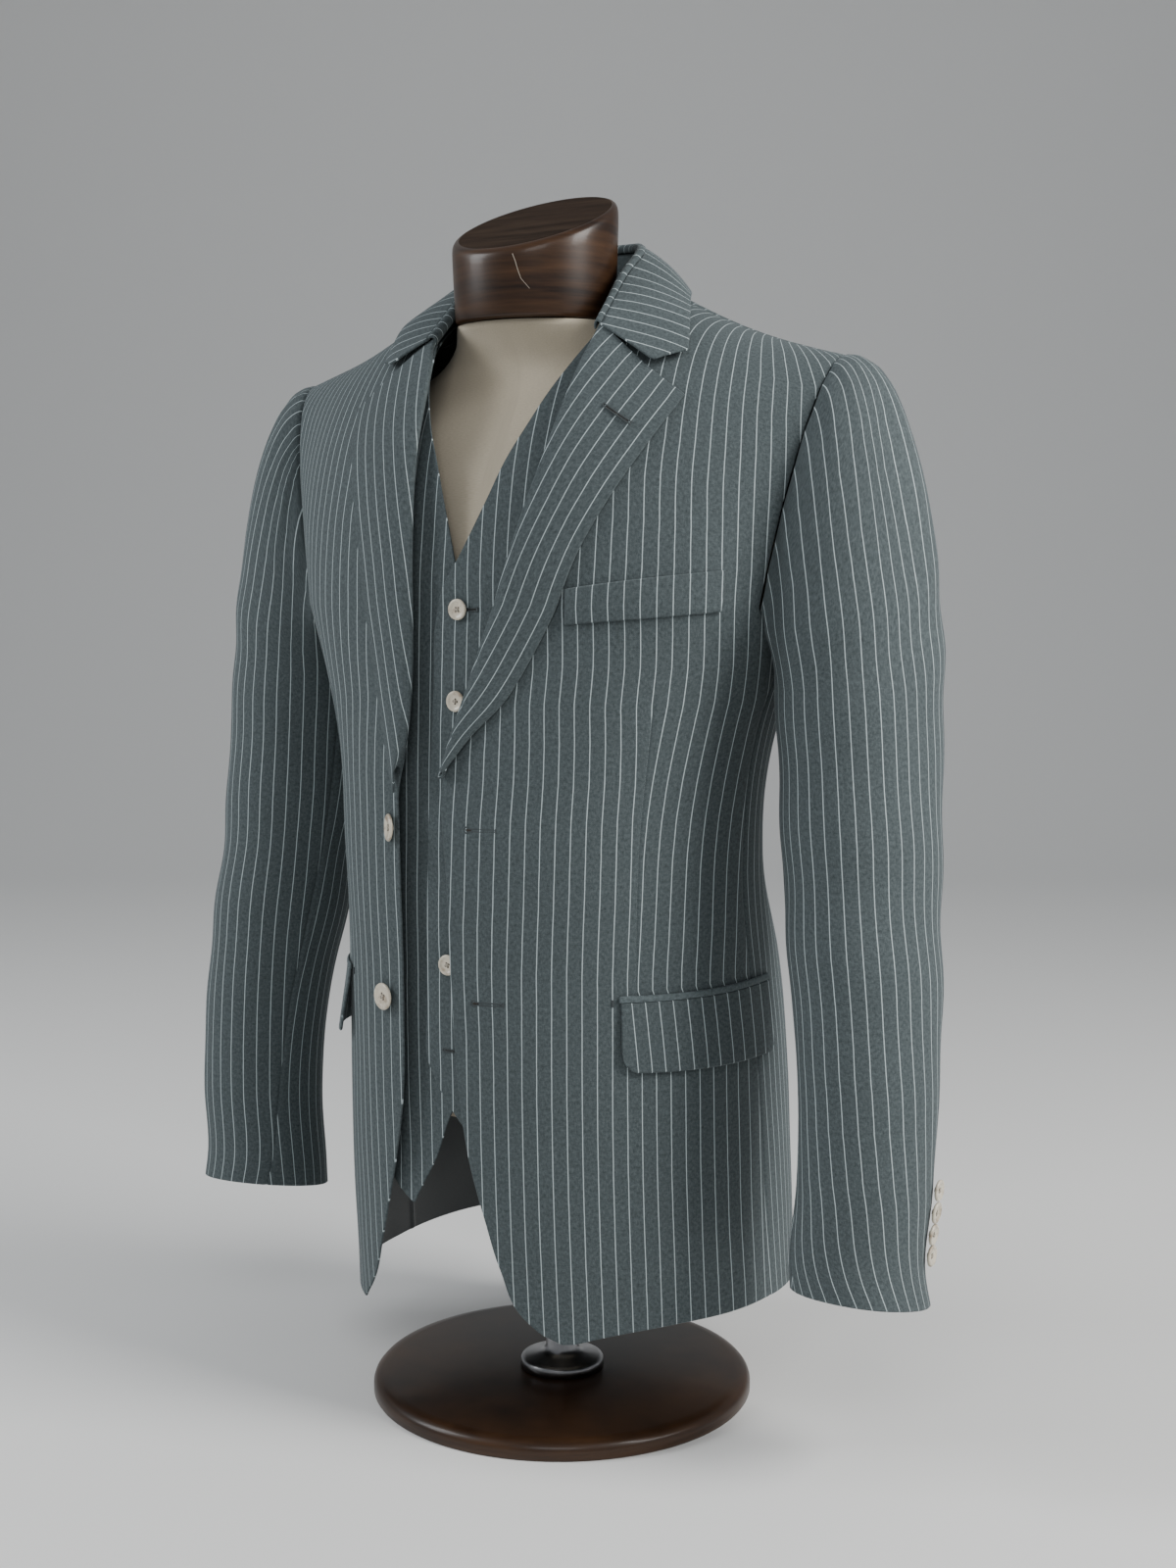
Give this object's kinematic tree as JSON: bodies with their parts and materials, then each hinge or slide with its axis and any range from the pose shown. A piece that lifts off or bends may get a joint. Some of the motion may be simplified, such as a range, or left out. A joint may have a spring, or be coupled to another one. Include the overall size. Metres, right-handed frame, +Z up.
{
  "type": "pinstripe suit jacket and waistcoat on a dress form",
  "caption": "Men's pinstripe suit jacket worn open over a matching waistcoat, hanging on a limbless dress form with a wooden neck block, steel post and round base.",
  "frame": {"origin": "centre of the round base's underside, where the dress form stands on the floor or table", "axes": "+Z up along the post, -Y the way the wearer faces, +X the wearer's left"},
  "size_m": [0.631, 0.3241, 0.8994],
  "materials": {
    "suit_cloth": "mid-grey worsted with thin pale pinstripes",
    "waistcoat_back_cloth": "plain dark satin lining cloth",
    "button_horn": "cream with brown mottling, polished",
    "form_jersey": "plain natural jersey cover",
    "form_wood": "dark brown, glossy varnish",
    "form_steel": "satin"
  },
  "bodies": {
    "root": {"breast_welt": "suit_cloth", "collar_fall": "suit_cloth", "collar_stand": "suit_cloth", "cuff_button_L1": "button_horn", "cuff_button_L2": "button_horn", "cuff_button_L3": "button_horn", "cuff_button_L4": "button_horn", "cuff_button_R1": "button_horn", "cuff_button_R2": "button_horn", "cuff_button_R3": "button_horn", "cuff_button_R4": "button_horn", "flap_L": "suit_cloth", "flap_R": "suit_cloth", "form_base": "form_wood", "form_neck": "form_wood", "form_post": "form_steel", "form_torso": "form_jersey", "front_button_1": "button_horn", "front_button_2": "button_horn", "jacket_back_L": "suit_cloth", "jacket_back_R": "suit_cloth", "jacket_front_L": "suit_cloth", "jacket_front_R": "suit_cloth", "jacket_side_L": "suit_cloth", "jacket_side_R": "suit_cloth", "jet_L": "suit_cloth", "jet_R": "suit_cloth", "lapel_L": "suit_cloth", "lapel_R": "suit_cloth", "top_sleeve_L": "suit_cloth", "top_sleeve_R": "suit_cloth", "under_sleeve_L": "suit_cloth", "under_sleeve_R": "suit_cloth", "waistcoat_back": "waistcoat_back_cloth", "waistcoat_button_1": "button_horn", "waistcoat_button_2": "button_horn", "waistcoat_button_3": "button_horn", "waistcoat_button_4": "button_horn", "waistcoat_button_5": "button_horn", "waistcoat_front_L": "suit_cloth", "waistcoat_front_R": "suit_cloth"}
  },
  "joints": []
}
